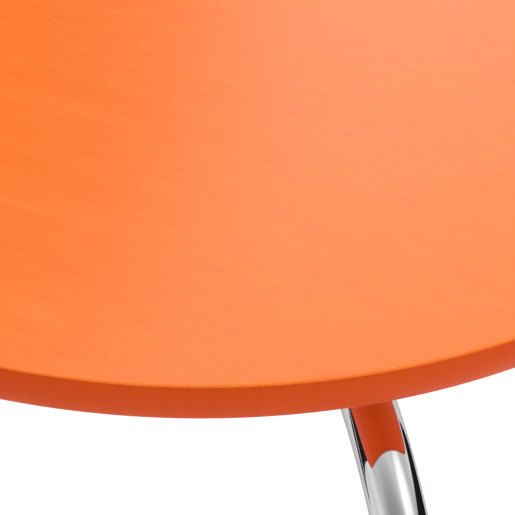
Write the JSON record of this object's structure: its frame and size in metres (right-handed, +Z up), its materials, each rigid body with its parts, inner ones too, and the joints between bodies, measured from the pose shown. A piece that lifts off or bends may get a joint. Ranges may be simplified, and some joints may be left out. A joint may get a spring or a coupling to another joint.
{
  "type": "stacking chair",
  "caption": "Stacking chair with a one-piece moulded plywood shell on four splayed chromed tube legs that meet in a hub under the seat, with swivelling glides.",
  "frame": {"origin": "on the floor under the middle of the chair", "axes": "+Z up, the sitter faces -Y, +X is the sitter's left"},
  "size_m": [0.5258, 0.5199, 0.7994],
  "materials": {
    "shell_lacquer": "orange satin lacquer over plywood, with faint grain showing in relief",
    "block_plywood": "plain plywood",
    "insert_brass": "turned",
    "hub_steel": "zinc-plated",
    "fastener_steel": "zinc-plated",
    "cover_plastic": "fine moulded texture",
    "buffer_rubber": "matt",
    "leg_chrome": "bright chrome plate",
    "glide_plastic": "satin moulded",
    "sole_felt": "pressed felt"
  },
  "bodies": {
    "chair": {"seat_shell": "shell_lacquer", "mounting_block": "block_plywood", "threaded_inserts": "insert_brass", "hub_upper_plate": "hub_steel", "hub_lower_plate": "hub_steel", "hub_boss": "hub_steel", "mounting_screws": "fastener_steel", "mounting_washers": "fastener_steel", "centre_cover": "cover_plastic", "cover_screw": "fastener_steel", "stacking_ring": "buffer_rubber", "leg_front_left": "leg_chrome", "seat_buffer_front_left": "buffer_rubber", "glide_insert_front_left": "glide_plastic", "leg_front_right": "leg_chrome", "seat_buffer_front_right": "buffer_rubber", "glide_insert_front_right": "glide_plastic", "leg_rear_left": "leg_chrome", "seat_buffer_rear_left": "buffer_rubber", "glide_insert_rear_left": "glide_plastic", "leg_rear_right": "leg_chrome", "seat_buffer_rear_right": "buffer_rubber", "glide_insert_rear_right": "glide_plastic"},
    "glide_front_left": {"glide_pad_front_left": "glide_plastic", "glide_sole_front_left": "sole_felt"},
    "glide_front_right": {"glide_pad_front_right": "glide_plastic", "glide_sole_front_right": "sole_felt"},
    "glide_rear_left": {"glide_pad_rear_left": "glide_plastic", "glide_sole_rear_left": "sole_felt"},
    "glide_rear_right": {"glide_pad_rear_right": "glide_plastic", "glide_sole_rear_right": "sole_felt"}
  },
  "joints": [
    {"name": "glide_tilt_front_left", "type": "hinge", "parent": "chair", "child": "glide_front_left", "pos_m": [0.19736, -0.24696, 0.008], "axis": [0.7071, 0.7071, 0], "range_deg": [-20.5, 9.5]},
    {"name": "glide_tilt_front_right", "type": "hinge", "parent": "chair", "child": "glide_front_right", "pos_m": [-0.19736, -0.24696, 0.008], "axis": [0.7071, -0.7071, 0], "range_deg": [-20.5, 9.5]},
    {"name": "glide_tilt_rear_left", "type": "hinge", "parent": "chair", "child": "glide_rear_left", "pos_m": [0.24991, 0.1601, 0.008], "axis": [-0.6428, 0.766, 0], "range_deg": [-20, 10]},
    {"name": "glide_tilt_rear_right", "type": "hinge", "parent": "chair", "child": "glide_rear_right", "pos_m": [-0.24991, 0.1601, 0.008], "axis": [-0.6428, -0.766, 0], "range_deg": [-20, 10]}
  ]
}
